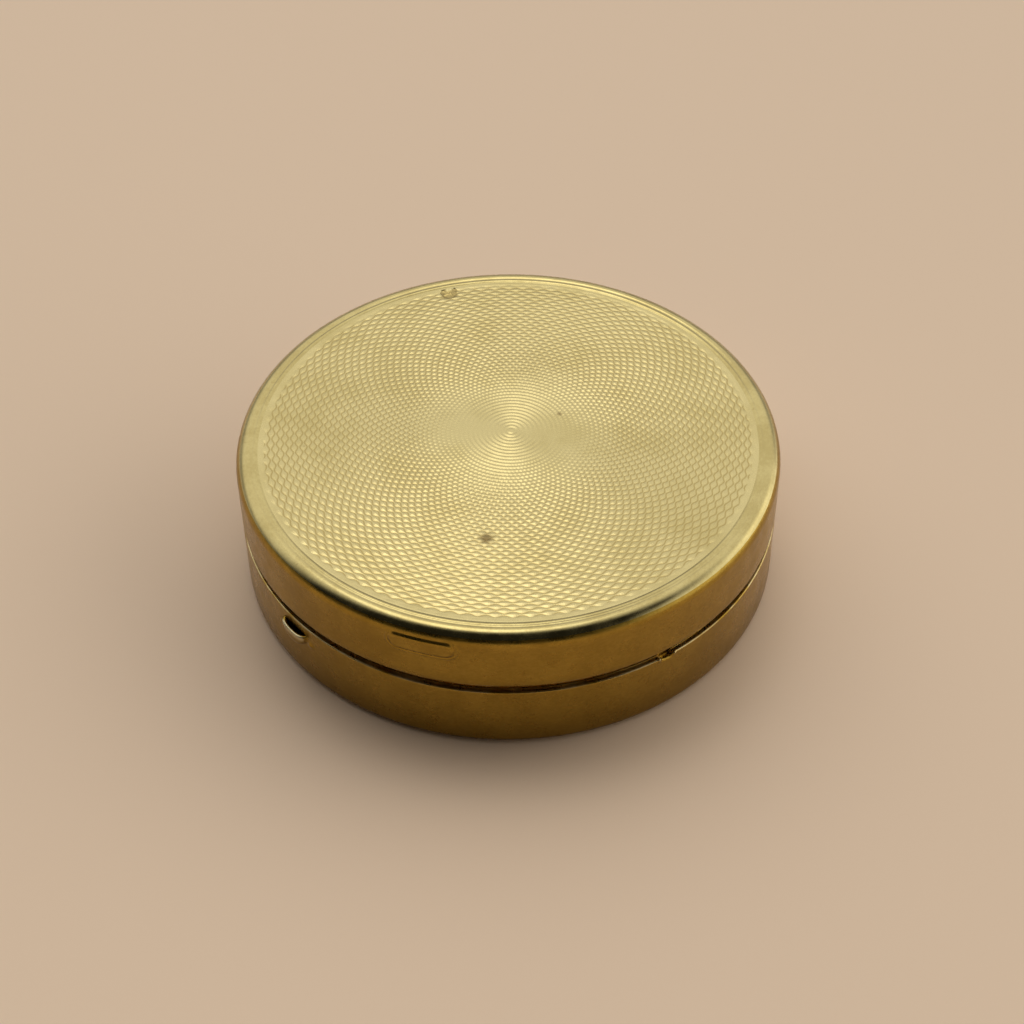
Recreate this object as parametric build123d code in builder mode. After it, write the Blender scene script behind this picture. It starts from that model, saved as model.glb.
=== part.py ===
from build123d import *
import os
from math import cos, degrees, radians, sin, sqrt, tan

# A round gilt brass powder compact, closed. Millimetres, +Z up.
# The origin is the centre of the flat bottom. The hinge stands at the back
# right and the thumb lip is opposite it, at the front left.

# Case
case_radius = 25.0
base_height = 6.8
seam_gap = 0.8
lid_height = 6.0
wall = 0.6
face_thickness = 0.7
edge_round = 1.0
bottom_round = 0.8

# Turned rim of the lid's face
rim_groove_inset = 1.3
rim_groove_width = 0.3
rim_groove_depth = 0.12
face_recess_inset = 1.85
face_recess_depth = 0.08

# Raised obround outline on the lid's wall
obround_bearing = -107.6
obround_drop = 1.9
obround_length = 6.6
obround_width = 2.4
obround_bead = 0.32
obround_rise = 0.2

# Thumb lip lanced from the base's wall, and the nick in the base's edge
lip_width = 3.4
lip_rise = 0.6
lip_sheet = 0.25
lip_mouth_drop = 1.0
lip_depth = 2.75
lip_rake = 12.0
nick_bearing = -57.0
nick_width = 1.4
nick_depth = 0.3

# Collar inside the seam, over which the lid closes
collar_sheet = 0.5
collar_clearance = 0.3
collar_rise = 2.8
collar_skirt = 3.6
collar_window_margin = 0.5
collar_lead = 0.17
solder_gap = 0.02

# Snap springs on the collar and the groove in the lid that they spring into
spring_spread = 35.0
spring_length = 7.0
spring_width = 2.0
spring_sheet = 0.17
spring_nose_radius = 0.9
spring_nose_gap = 0.07
spring_recess_margin = 0.1
snap_groove_depth = 0.12
snap_groove_width = 1.0
rivet_radius = 0.25
rivet_head_radius = 0.5
rivet_head = 0.08
rivet_inset = 0.7

# Lid hinge outside the back wall
hinge_bearing = 39.5
hinge_length = 12.0
knuckle_count = 5
knuckle_radius = 0.8
knuckle_gap = 0.1
pin_radius = 0.4
pin_clearance = 0.03
pin_head_radius = 0.62
pin_head = 0.25
leaf_sheet = 0.35
leaf_height = 3.2
leaf_corner = 0.9
barrel_gap = 0.1

# Mirror in the lid
backing_thickness = 0.35
glass_thickness = 1.2
glass_bevel = 0.35
bezel_radial = 2.6
bezel_lip = 0.35
bezel_shoulder = 0.7
bezel_hold = 1.0
mirror_clearance = 0.15

# Powder pan and the ring that holds it down
pan_clearance = 0.25
pan_sheet = 0.35
pan_round = 0.7
ring_radial = 1.35
ring_height = 2.5
ring_chamfer = 0.3
cover_recess = 0.8

# Inner cover and its hinge
cover_sheet = 0.35
cover_clearance = 0.35
cover_seat_gap = 0.05
cover_bead_inset = 3.0
cover_bead_height = 0.2
cover_bead_width = 0.6
cover_knuckle_radius = 0.5
cover_knuckle_length = 5.8
cover_pin_radius = 0.25
cover_axis_inset = 1.5
cover_ear_gap = 0.1
cover_ear_width = 1.0
bracket_sheet = 0.35
bracket_height = 1.0
tab_width = 5.0
tab_depth = 1.6
tab_height = 0.6
tab_inset = 1.2

# Puff and powder
puff_clearance = 1.7
puff_thickness = 2.9
puff_round = 1.3
puff_gap = 0.05
puff_headroom = 0.5
satin_inset = 0.6
satin_thickness = 0.4
ribbon_width = 6.0
ribbon_sheet = 0.25
ribbon_bow = 0.45
ribbon_overhang = 2.2

# Heights and radii that follow
lid_low = base_height + seam_gap
case_height = lid_low + lid_height
lid_ceiling = case_height - face_thickness
shell_bore = case_radius - wall
base_floor = face_thickness
collar_outer = shell_bore - collar_clearance
collar_bore = collar_outer - collar_sheet
collar_top = base_height + collar_rise
ring_top = collar_top - cover_recess
ring_low = ring_top - ring_height
ring_outer = collar_bore - solder_gap
ring_bore = ring_outer - ring_radial
cover_low = ring_top + cover_seat_gap
cover_top = cover_low + cover_sheet
cover_radius = collar_bore - cover_clearance
pan_radius = collar_bore - pan_clearance
pan_low = base_floor + solder_gap
pan_floor = pan_low + pan_sheet
pan_top = ring_low - solder_gap
puff_radius = ring_bore - puff_clearance
satin_top = cover_low - puff_headroom - ribbon_bow
puff_top = satin_top - satin_thickness
puff_low = puff_top - puff_thickness
cake_top = puff_low - puff_gap
hinge_height = (base_height + lid_low) / 2
hinge_distance = case_radius + leaf_sheet + barrel_gap + knuckle_radius
cover_hinge_distance = collar_bore - cover_axis_inset
cover_hinge_height = cover_low + cover_knuckle_radius
front_bearing = hinge_bearing + 180
spring_height = collar_top - spring_width / 2 - 2 * spring_recess_margin
through_wall = 3 * wall
beyond_case = 2 * case_radius
through_lip = 2 * lip_rise


def wall_plane(bearing, distance, height):
    """A plane facing outwards at a bearing from +X; its own x runs along the wall and y is up."""
    turn = radians(bearing)
    return Plane(
        origin=(distance * cos(turn), distance * sin(turn), height),
        x_dir=(-sin(turn), cos(turn), 0),
        z_dir=(cos(turn), sin(turn), 0),
    )


def pin_plane(distance, height, along=0):
    """A plane across a hinge pin; its own x is outwards and y is up, and along moves it along the pin."""
    turn = radians(hinge_bearing)
    return Plane(
        origin=(
            distance * cos(turn) + along * sin(turn),
            distance * sin(turn) - along * cos(turn),
            height,
        ),
        x_dir=(cos(turn), sin(turn), 0),
        z_dir=(sin(turn), -cos(turn), 0),
    )


def ring_sector(inner, outer, bearing, length):
    """Draws, in the open sketch, a stretch of a ring of that length about a bearing."""
    turn = radians(bearing)
    Circle(outer)
    Circle(inner, mode=Mode.SUBTRACT)
    with Locations(Location((outer * cos(turn), outer * sin(turn), 0), (0, 0, bearing))):
        Rectangle(2 * outer, length, mode=Mode.INTERSECT)


def finish(block, name):
    """Labels a finished piece and writes it to its file."""
    block.part.label = name
    export_step(block.part, f"parts/{name}.step")


os.makedirs("parts", exist_ok=True)

# Form of the obround outline, wrapped onto the lid's wall
with BuildPart() as obround_form:
    with BuildSketch(wall_plane(obround_bearing, case_radius / 2, case_height - obround_drop)):
        SlotOverall(obround_length, obround_width)
        SlotOverall(
            obround_length - 2 * obround_bead,
            obround_width - 2 * obround_bead,
            mode=Mode.SUBTRACT,
        )
    extrude(amount=case_radius)
    with BuildSketch():
        Circle(case_radius + obround_rise)
        Circle(case_radius - wall / 2, mode=Mode.SUBTRACT)
    extrude(amount=case_height, mode=Mode.INTERSECT)

# Lid shell: a drawn cup with a turned rim round its face
with BuildPart() as lid_shell:
    with BuildSketch(Plane.XZ) as lid_profile:
        with BuildLine():
            Polyline(
                (0, case_height),
                (case_radius, case_height),
                (case_radius, lid_low),
                (shell_bore, lid_low),
                (shell_bore, lid_ceiling),
                (0, lid_ceiling),
                close=True,
            )
        make_face()
        lid_corner = lid_profile.vertices().sort_by_distance((case_radius, case_height))[0]
        fillet(lid_corner, radius=edge_round)
    revolve(axis=Axis.Z)
    with BuildSketch(Plane.XY.offset(case_height)):
        Circle(case_radius - rim_groove_inset + rim_groove_width / 2)
        Circle(case_radius - rim_groove_inset - rim_groove_width / 2, mode=Mode.SUBTRACT)
    extrude(amount=-rim_groove_depth, mode=Mode.SUBTRACT)
    with BuildSketch(Plane.XY.offset(case_height)):
        Circle(case_radius - face_recess_inset)
    extrude(amount=-face_recess_depth, mode=Mode.SUBTRACT)
    with BuildSketch(Plane.XY.offset(spring_height - snap_groove_width / 2)):
        Circle(shell_bore + snap_groove_depth)
    extrude(amount=snap_groove_width, mode=Mode.SUBTRACT)
    add(obround_form.part)
finish(lid_shell, "lid_shell")

# Forms of the thumb lip: a ball pressed out through the wall, open at a raked mouth
lip_half = lip_width / 2
lip_ball = (lip_half**2 + lip_rise**2) / (2 * lip_rise)
lip_height = base_height - lip_depth + lip_half
lip_centre = wall_plane(front_bearing, case_radius + lip_rise - lip_ball, lip_height)
lip_mouth = base_height - lip_mouth_drop

with BuildPart(lip_centre) as lip_hollow:
    Sphere(lip_ball - lip_sheet)
    split(bisect_by=Plane.XY.offset(lip_mouth), keep=Keep.BOTTOM)

with BuildPart(lip_centre) as lip_form:
    Sphere(lip_ball)
    Sphere(lip_ball - lip_sheet, mode=Mode.SUBTRACT)
    with BuildSketch():
        Circle(case_radius - wall / 2)
    extrude(amount=case_height, mode=Mode.SUBTRACT)
    split(bisect_by=Plane.XY.offset(lip_mouth), keep=Keep.BOTTOM)
    with BuildSketch(pin_plane(-case_radius, lip_mouth, -lip_width)):
        with BuildLine():
            Polyline(
                (0, 0),
                (-through_lip, 0),
                (-through_lip, -through_lip * tan(radians(lip_rake))),
                close=True,
            )
        make_face()
    extrude(amount=2 * lip_width, mode=Mode.SUBTRACT)

# Base shell: a drawn cup with the thumb lip and a nick in its edge
with BuildPart() as base_shell:
    with BuildSketch(Plane.XZ) as base_profile:
        with BuildLine():
            Polyline(
                (0, 0),
                (case_radius, 0),
                (case_radius, base_height),
                (shell_bore, base_height),
                (shell_bore, base_floor),
                (0, base_floor),
                close=True,
            )
        make_face()
        base_corner = base_profile.vertices().sort_by_distance((case_radius, 0))[0]
        fillet(base_corner, radius=bottom_round)
    revolve(axis=Axis.Z)
    add(lip_hollow.part, mode=Mode.SUBTRACT)
    add(lip_form.part)
    with BuildSketch(wall_plane(nick_bearing, shell_bore - wall, base_height)):
        Rectangle(nick_width, 2 * nick_depth)
    extrude(amount=through_wall, mode=Mode.SUBTRACT)
finish(base_shell, "base_shell")

# Collar: a stepped ring soldered in the base, with spring recesses and a window behind the lip
recess_depth = spring_sheet + solder_gap
spring_outer = collar_outer - solder_gap
spring_inner = spring_outer - spring_sheet
spring_bearings = {
    "left": front_bearing - spring_spread,
    "right": front_bearing + spring_spread,
}
rivet_spread = spring_length / 2 - rivet_inset
window_width = lip_width + 2 * collar_window_margin
window_height = 2 * (collar_skirt - lip_mouth_drop + collar_window_margin)

with BuildPart() as base_collar:
    with BuildSketch(Plane.XY.offset(base_height - collar_skirt)):
        Circle(shell_bore - solder_gap)
        Circle(collar_bore, mode=Mode.SUBTRACT)
    extrude(amount=collar_skirt)
    with BuildSketch(Plane.XY.offset(base_height)):
        Circle(collar_outer)
        Circle(collar_bore, mode=Mode.SUBTRACT)
    extrude(amount=collar_rise)
    chamfer(base_collar.faces().sort_by(Axis.Z)[-1].outer_wire().edges(), length=collar_lead)
    with BuildSketch(wall_plane(front_bearing, collar_bore - wall, lip_mouth)):
        Rectangle(window_width, window_height)
    extrude(amount=through_wall, mode=Mode.SUBTRACT)
    for bearing in spring_bearings.values():
        with BuildSketch(Plane.XY.offset(spring_height - spring_width / 2 - spring_recess_margin)):
            ring_sector(
                collar_outer - recess_depth,
                case_radius,
                bearing,
                spring_length + 2 * spring_recess_margin,
            )
        extrude(amount=spring_width + 2 * spring_recess_margin, mode=Mode.SUBTRACT)
        for along in (-rivet_spread, rivet_spread):
            with BuildSketch(wall_plane(bearing, collar_bore - wall, spring_height)):
                with Locations((along, 0)):
                    Circle(rivet_radius)
            extrude(amount=through_wall, mode=Mode.SUBTRACT)
finish(base_collar, "base_collar")

# Snap springs: thin strips in the collar's recesses, each with a round nose
for side, bearing in spring_bearings.items():
    nose_distance = shell_bore - spring_nose_gap - spring_nose_radius
    with BuildPart() as snap_spring:
        with Locations(wall_plane(bearing, nose_distance, spring_height).location):
            Sphere(spring_nose_radius)
        with BuildSketch():
            Circle(spring_inner)
        extrude(amount=case_height, mode=Mode.SUBTRACT)
        with BuildSketch(Plane.XY.offset(spring_height - spring_width / 2)):
            ring_sector(spring_inner, spring_outer, bearing, spring_length)
        extrude(amount=spring_width)
        for along in (-rivet_spread, rivet_spread):
            with BuildSketch(wall_plane(bearing, collar_bore - wall, spring_height)):
                with Locations((along, 0)):
                    Circle(rivet_radius)
            extrude(amount=through_wall, mode=Mode.SUBTRACT)
    finish(snap_spring, f"snap_spring_{side}")

# Spring rivets: four short shanks with flat heads outside the springs
with BuildPart() as spring_rivets:
    for bearing in spring_bearings.values():
        for along in (-rivet_spread, rivet_spread):
            shank_bearing = bearing + degrees(along / spring_outer)
            with BuildSketch(wall_plane(shank_bearing, collar_bore, spring_height)):
                Circle(rivet_radius - solder_gap)
            extrude(amount=spring_outer + solder_gap - collar_bore)
            with BuildSketch(wall_plane(shank_bearing, spring_outer + solder_gap, spring_height)):
                Circle(rivet_head_radius)
            extrude(amount=rivet_head)
finish(spring_rivets, "spring_rivets")

# Lid hinge: each leaf is a curved plate soldered to its wall, with webs out to its knuckles
knuckle_pitch = hinge_length / knuckle_count
knuckle_length = knuckle_pitch - knuckle_gap
knuckle_places = [knuckle_pitch * (place - (knuckle_count - 1) / 2) for place in range(knuckle_count)]
web_reach = hinge_distance - sqrt(case_radius**2 - (hinge_length / 2) ** 2)
leaf_ends = {
    "lid_hinge_leaf": (lid_low, lid_low + leaf_height, knuckle_places[1::2], 1),
    "base_hinge_leaf": (base_height - leaf_height, base_height, knuckle_places[::2], -1),
}
for leaf_name, (leaf_low, leaf_top, places, upwards) in leaf_ends.items():
    with BuildPart() as leaf:
        with BuildSketch(Plane.XY.offset(leaf_low)):
            ring_sector(case_radius - wall, case_radius + leaf_sheet, hinge_bearing, hinge_length)
        extrude(amount=leaf_height)
        with BuildSketch(wall_plane(hinge_bearing, case_radius - through_wall, (leaf_low + leaf_top) / 2)):
            RectangleRounded(hinge_length, leaf_height, leaf_corner)
            with Locations((0, -upwards * leaf_height / 4)):
                Rectangle(hinge_length, leaf_height / 2)
        extrude(amount=2 * through_wall, mode=Mode.INTERSECT)
        for place in places:
            with BuildSketch(pin_plane(hinge_distance, hinge_height, place - knuckle_length / 2)):
                Circle(knuckle_radius)
                with Locations((-web_reach / 2, upwards * (seam_gap / 2 + knuckle_radius) / 2)):
                    Rectangle(web_reach, knuckle_radius - seam_gap / 2)
            extrude(amount=knuckle_length)
        with BuildSketch(pin_plane(hinge_distance, hinge_height, -hinge_length)):
            Circle(pin_radius + pin_clearance)
        extrude(amount=2 * hinge_length, mode=Mode.SUBTRACT)
        with BuildSketch():
            Circle(case_radius)
        extrude(amount=case_height, mode=Mode.SUBTRACT)
    finish(leaf, leaf_name)

# Hinge pin with a flat head at each end
pin_length = hinge_length - knuckle_gap + 2 * solder_gap
with BuildPart() as hinge_pin:
    with BuildSketch(pin_plane(hinge_distance, hinge_height, -pin_length / 2)):
        Circle(pin_radius)
    extrude(amount=pin_length)
    for end in (-pin_length / 2 - pin_head, pin_length / 2):
        with BuildSketch(pin_plane(hinge_distance, hinge_height, end)):
            Circle(pin_head_radius)
        extrude(amount=pin_head)
finish(hinge_pin, "hinge_pin")

# Mirror: backing card, bevelled glass, and the bezel that holds both in the lid
bezel_outer = shell_bore - solder_gap
bezel_bore = bezel_outer - bezel_radial
glass_radius = bezel_bore + bezel_hold
glass_low = lid_ceiling - solder_gap - backing_thickness - solder_gap - glass_thickness
bezel_low = glass_low - solder_gap - bezel_lip

with BuildPart() as mirror_backing:
    with BuildSketch(Plane.XY.offset(lid_ceiling - solder_gap - backing_thickness)):
        Circle(glass_radius)
    extrude(amount=backing_thickness)
finish(mirror_backing, "mirror_backing")

with BuildPart() as mirror_glass:
    with BuildSketch(Plane.XY.offset(glass_low)):
        Circle(glass_radius)
    extrude(amount=glass_thickness)
    chamfer(mirror_glass.faces().sort_by(Axis.Z)[0].edges(), length=glass_bevel)
finish(mirror_glass, "mirror_glass")

with BuildPart() as mirror_bezel:
    with BuildSketch(Plane.XZ) as bezel_profile:
        with BuildLine():
            Polyline(
                (bezel_bore, bezel_low),
                (bezel_outer, bezel_low),
                (bezel_outer, lid_ceiling - bezel_shoulder),
                (bezel_outer - bezel_shoulder, lid_ceiling - solder_gap),
                (glass_radius + mirror_clearance, lid_ceiling - solder_gap),
                (glass_radius + mirror_clearance, bezel_low + bezel_lip),
                (bezel_bore, bezel_low + bezel_lip),
                close=True,
            )
        make_face()
        bezel_corners = bezel_profile.vertices().group_by(Axis.Y)[0]
        fillet(bezel_corners, radius=bezel_lip / 2)
    revolve(axis=Axis.Z)
finish(mirror_bezel, "mirror_bezel")

# Powder pan with its cake, and the bevelled ring that holds the pan down
with BuildPart() as powder_pan:
    with BuildSketch(Plane.XY.offset(pan_low)):
        Circle(pan_radius)
    extrude(amount=pan_top - pan_low)
    fillet(powder_pan.faces().sort_by(Axis.Z)[0].edges(), radius=pan_round)
    with BuildSketch(Plane.XY.offset(pan_floor)):
        Circle(pan_radius - pan_sheet)
    extrude(amount=pan_top - pan_floor, mode=Mode.SUBTRACT)
finish(powder_pan, "powder_pan")

with BuildPart() as powder_cake:
    with BuildSketch(Plane.XY.offset(pan_floor)):
        Circle(pan_radius - pan_sheet - solder_gap)
    extrude(amount=cake_top - pan_floor)
finish(powder_cake, "powder_cake")

with BuildPart() as pan_ring:
    with BuildSketch(Plane.XY.offset(ring_low)):
        Circle(ring_outer)
        Circle(ring_bore, mode=Mode.SUBTRACT)
    extrude(amount=ring_height)
    chamfer(pan_ring.faces().sort_by(Axis.Z)[-1].inner_wires()[0].edges(), length=ring_chamfer)
finish(pan_ring, "pan_ring")

# Inner cover: a round door with a stiffening bead, cut straight at its hinge
cover_chord = cover_hinge_distance - cover_knuckle_radius - cover_ear_gap
cover_web = 2 * (cover_knuckle_radius + cover_ear_gap)
bracket_length = cover_knuckle_length + 2 * cover_ear_gap + 2 * cover_ear_width

with BuildPart() as inner_cover:
    with BuildSketch(Plane.XY.offset(cover_low)):
        Circle(cover_radius)
        turn = radians(hinge_bearing)
        reach = cover_chord - cover_radius
        with Locations(Location((reach * cos(turn), reach * sin(turn), 0), (0, 0, hinge_bearing))):
            Rectangle(2 * cover_radius, 2 * cover_radius, mode=Mode.INTERSECT)
    extrude(amount=cover_sheet)
    with BuildSketch(Plane.XY.offset(cover_top)):
        Circle(cover_radius - cover_bead_inset)
        Circle(cover_radius - cover_bead_inset - cover_bead_width, mode=Mode.SUBTRACT)
    extrude(amount=cover_bead_height)
    with BuildSketch(pin_plane(cover_hinge_distance, cover_hinge_height, -cover_knuckle_length / 2)):
        Circle(cover_knuckle_radius)
        with Locations((-cover_web / 2, cover_low + cover_sheet / 2 - cover_hinge_height)):
            Rectangle(cover_web, cover_sheet)
        Circle(cover_pin_radius + pin_clearance, mode=Mode.SUBTRACT)
    extrude(amount=cover_knuckle_length)
finish(inner_cover, "inner_cover")

# Finger tab: a small curved lip soldered on the inner cover, opposite its hinge
with BuildPart() as cover_tab:
    with BuildSketch(Plane.XY.offset(cover_top)):
        ring_sector(
            cover_radius - tab_inset - tab_depth,
            cover_radius - tab_inset,
            front_bearing,
            tab_width,
        )
    extrude(amount=tab_height)
finish(cover_tab, "cover_tab")

# Inner cover's bracket: a curved strip on the collar with two ears for the pin
with BuildPart() as cover_bracket:
    with BuildSketch(Plane.XY.offset(cover_low)):
        ring_sector(ring_outer - bracket_sheet, ring_outer, hinge_bearing, bracket_length)
    extrude(amount=bracket_height)
    for side in (-1, 1):
        ear_middle = side * (cover_knuckle_length + cover_ear_width + 2 * cover_ear_gap) / 2
        ear_end = ear_middle - cover_ear_width / 2
        with BuildSketch(pin_plane(cover_hinge_distance, cover_hinge_height, ear_end)):
            Circle(cover_knuckle_radius)
            with Locations((cover_axis_inset / 2, 0)):
                Rectangle(cover_axis_inset, 2 * cover_knuckle_radius)
            Circle(cover_pin_radius + solder_gap, mode=Mode.SUBTRACT)
        extrude(amount=cover_ear_width)
    with BuildSketch(Plane.XY.offset(cover_low)):
        Circle(beyond_case)
        Circle(ring_outer, mode=Mode.SUBTRACT)
    extrude(amount=case_height, mode=Mode.SUBTRACT)
finish(cover_bracket, "cover_bracket")

with BuildPart() as cover_pin:
    with BuildSketch(pin_plane(cover_hinge_distance, cover_hinge_height, -bracket_length / 2)):
        Circle(cover_pin_radius)
    extrude(amount=bracket_length)
finish(cover_pin, "cover_pin")

# Puff: a velour pad, its satin back and the ribbon that it is held by
with BuildPart() as puff_pad:
    with BuildSketch(Plane.XY.offset(puff_low)):
        Circle(puff_radius)
    extrude(amount=puff_thickness)
    fillet(puff_pad.edges(), radius=puff_round)
finish(puff_pad, "puff_pad")

with BuildPart() as puff_backing:
    with BuildSketch(Plane.XY.offset(puff_top + solder_gap)):
        Circle(puff_radius - puff_round - satin_inset)
    extrude(amount=satin_thickness)
finish(puff_backing, "puff_backing")

ribbon_length = 2 * (puff_radius - puff_round - satin_inset - ribbon_overhang)
ribbon_low = puff_top + 2 * solder_gap + satin_thickness
with BuildPart() as puff_ribbon:
    with BuildSketch(pin_plane(0, ribbon_low, -ribbon_width / 2)):
        with BuildLine():
            ThreePointArc((-ribbon_length / 2, 0), (0, ribbon_bow - ribbon_sheet), (ribbon_length / 2, 0))
            Line((ribbon_length / 2, 0), (ribbon_length / 2, ribbon_sheet))
            ThreePointArc(
                (ribbon_length / 2, ribbon_sheet),
                (0, ribbon_bow),
                (-ribbon_length / 2, ribbon_sheet),
            )
            Line((-ribbon_length / 2, ribbon_sheet), (-ribbon_length / 2, 0))
        make_face()
    extrude(amount=ribbon_width)
finish(puff_ribbon, "puff_ribbon")
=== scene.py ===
import logging
import math
from dataclasses import dataclass, field
from enum import Enum
from typing import Iterable, Optional, Sequence, Union

import bmesh
import bpy
import numpy as np
from mathutils import Matrix, Vector


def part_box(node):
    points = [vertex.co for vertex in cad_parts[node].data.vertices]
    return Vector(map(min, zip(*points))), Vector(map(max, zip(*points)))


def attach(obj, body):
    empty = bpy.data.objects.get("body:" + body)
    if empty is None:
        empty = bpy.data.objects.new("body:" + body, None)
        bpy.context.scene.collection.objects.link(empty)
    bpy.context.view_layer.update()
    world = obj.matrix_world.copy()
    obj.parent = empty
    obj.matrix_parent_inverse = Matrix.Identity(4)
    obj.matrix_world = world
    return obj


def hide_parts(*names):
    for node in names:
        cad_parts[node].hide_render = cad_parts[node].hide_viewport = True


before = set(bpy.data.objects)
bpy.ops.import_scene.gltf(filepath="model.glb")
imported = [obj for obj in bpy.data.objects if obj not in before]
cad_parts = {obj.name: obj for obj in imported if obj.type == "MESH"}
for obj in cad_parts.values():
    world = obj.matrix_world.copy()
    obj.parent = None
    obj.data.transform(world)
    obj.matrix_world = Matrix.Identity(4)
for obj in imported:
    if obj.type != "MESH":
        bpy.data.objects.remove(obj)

MM = 0.001
TURN = 2 * math.pi
HALF_TURN = math.pi

Colour = tuple[float, float, float]
Point = tuple[float, float, float]
Outline = list[tuple[float, float]]
Socket = bpy.types.NodeSocket
Value = Union[float, Socket]
Rows = tuple[np.ndarray, np.ndarray]
Faces = list[tuple[int, ...]]

log = logging.getLogger("compact")
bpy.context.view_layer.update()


class Body(Enum):
    """The three bodies that move against each other."""

    BASE = "base"
    LID = "lid"
    COVER = "powder_cover"


class Slot(Enum):
    """The record's material slots."""

    ENGINE_TURNED = "engine_turned_gilt"
    WALL = "satin_gilt_wall"
    INNER = "inner_gilt"
    HINGE = "hinge_brass"
    BRONZE = "spring_bronze"
    STEEL = "steel_pin"
    MIRROR = "mirror_glass"
    CARD = "backing_card"
    TIN = "pan_tin"
    POWDER = "pressed_powder"
    VELOUR = "puff_velour"
    SATIN = "puff_satin"
    RIBBON = "ribbon_grosgrain"


# --------------------------------------------------------------------------- node graphs


class Graph:
    """A material's nodes, with short calls that add one and hand back what it gives."""

    def __init__(self, name: str) -> None:
        """Starts a material with one principled shader.

        Args:
            name: the material's name.
        """
        self.material = bpy.data.materials.new(name)
        self.material.use_nodes = True
        self.tree = self.material.node_tree
        self.shader = self.tree.nodes["Principled BSDF"]
        self.place = self.add("ShaderNodeTexCoord").outputs["Object"]

    def add(self, kind: str, **settings: object) -> bpy.types.Node:
        """Adds a node.

        Args:
            kind: the node's type.
            settings: the node's own properties.

        Returns:
            The new node.
        """
        node = self.tree.nodes.new(kind)
        for key, value in settings.items():
            setattr(node, key, value)
        return node

    def feed(self, target: Socket, value: object) -> None:
        """Links a socket into an input, or sets the input to a plain value.

        Args:
            target: the input.
            value: an output socket, a number or a colour.
        """
        if isinstance(value, bpy.types.NodeSocket):
            self.tree.links.new(value, target)
        elif isinstance(value, tuple) and len(value) == 3 and target.type == "RGBA":
            target.default_value = (*value, 1.0)
        else:
            target.default_value = value

    def set(self, name: str, value: object) -> None:
        """Feeds one of the shader's inputs.

        Args:
            name: the input's name.
            value: a socket, a number or a colour.
        """
        self.feed(self.shader.inputs[name], value)

    def sum(self, operation: str, *values: Value) -> Socket:
        """Works out one arithmetic step.

        Args:
            operation: the Math node's operation.
            values: its inputs, in order.

        Returns:
            The result.
        """
        node = self.add("ShaderNodeMath", operation=operation)
        for target, value in zip(node.inputs, values):
            self.feed(target, value)
        return node.outputs[0]

    def stretch(self, scale: Point, place: Optional[Socket] = None) -> Socket:
        """Scales a place along each axis.

        Args:
            scale: the three factors.
            place: the place, or the object's own.

        Returns:
            The scaled place.
        """
        node = self.add("ShaderNodeMapping")
        self.feed(node.inputs["Vector"], place or self.place)
        node.inputs["Scale"].default_value = scale
        return node.outputs[0]

    def noise(
        self, size: float, detail: float = 3.0, rough: float = 0.5, place: Optional[Socket] = None
    ) -> Socket:
        """Cloudy noise.

        Args:
            size: how wide one cloud is, in metres.
            detail: how many finer layers it has.
            rough: how strong the finer layers are.
            place: where it is read, or the object's own place.

        Returns:
            A number from 0 to 1.
        """
        node = self.add("ShaderNodeTexNoise")
        self.feed(node.inputs["Vector"], place or self.place)
        node.inputs["Scale"].default_value = 1 / size
        node.inputs["Detail"].default_value = detail
        node.inputs["Roughness"].default_value = rough
        return node.outputs["Fac"]

    def ramp(
        self, value: Value, low: float, high: float, to_low: float = 0.0, to_high: float = 1.0
    ) -> Socket:
        """Maps one range onto another smoothly, and stops at its ends.

        Args:
            value: the number to map.
            low: where the range starts.
            high: where the range ends.
            to_low: the result at the start.
            to_high: the result at the end.

        Returns:
            The mapped number.
        """
        node = self.add("ShaderNodeMapRange", interpolation_type="SMOOTHSTEP")
        for target, given in zip(node.inputs, (value, low, high, to_low, to_high)):
            self.feed(target, given)
        return node.outputs[0]

    def mix(self, share: Value, first: object, second: object) -> Socket:
        """Mixes two colours.

        Args:
            share: how much of the second there is.
            first: a colour or socket.
            second: a colour or socket.

        Returns:
            The mixed colour.
        """
        node = self.add("ShaderNodeMix", data_type="RGBA")
        self.feed(node.inputs[0], share)
        self.feed(node.inputs[6], first)
        self.feed(node.inputs[7], second)
        return node.outputs[2]

    def around(self) -> tuple[Socket, Socket, Socket]:
        """The place in turned terms.

        Returns:
            The distance from the axis, the height, and the turn about the axis in radians.
        """
        apart = self.add("ShaderNodeSeparateXYZ")
        self.feed(apart.inputs[0], self.place)
        x, y, z = apart.outputs
        square = self.sum("ADD", self.sum("MULTIPLY", x, x), self.sum("MULTIPLY", y, y))
        return self.sum("SQRT", square), z, self.sum("ARCTAN2", y, x)

    def turned_place(self, radius: float) -> Socket:
        """The place unrolled from a turned wall, so that marks can run round it.

        Args:
            radius: the wall's radius in metres.

        Returns:
            A place whose x runs round the wall, y is the distance from the axis and z is up.
        """
        distance, height, turn = self.around()
        joined = self.add("ShaderNodeCombineXYZ")
        self.feed(joined.inputs[0], self.sum("MULTIPLY", turn, radius))
        self.feed(joined.inputs[1], distance)
        self.feed(joined.inputs[2], height)
        return joined.outputs[0]

    def spot(self, centre: Point, radius: float, soft: float = 0.5) -> Socket:
        """A soft round spot.

        Args:
            centre: its middle.
            radius: where it ends.
            soft: the share of the radius over which it fades.

        Returns:
            1 inside it and 0 outside.
        """
        gap = self.add("ShaderNodeVectorMath", operation="DISTANCE")
        self.feed(gap.inputs[0], self.place)
        gap.inputs[1].default_value = centre
        return self.ramp(gap.outputs["Value"], radius * (1 - soft), radius, 1.0, 0.0)

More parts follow.
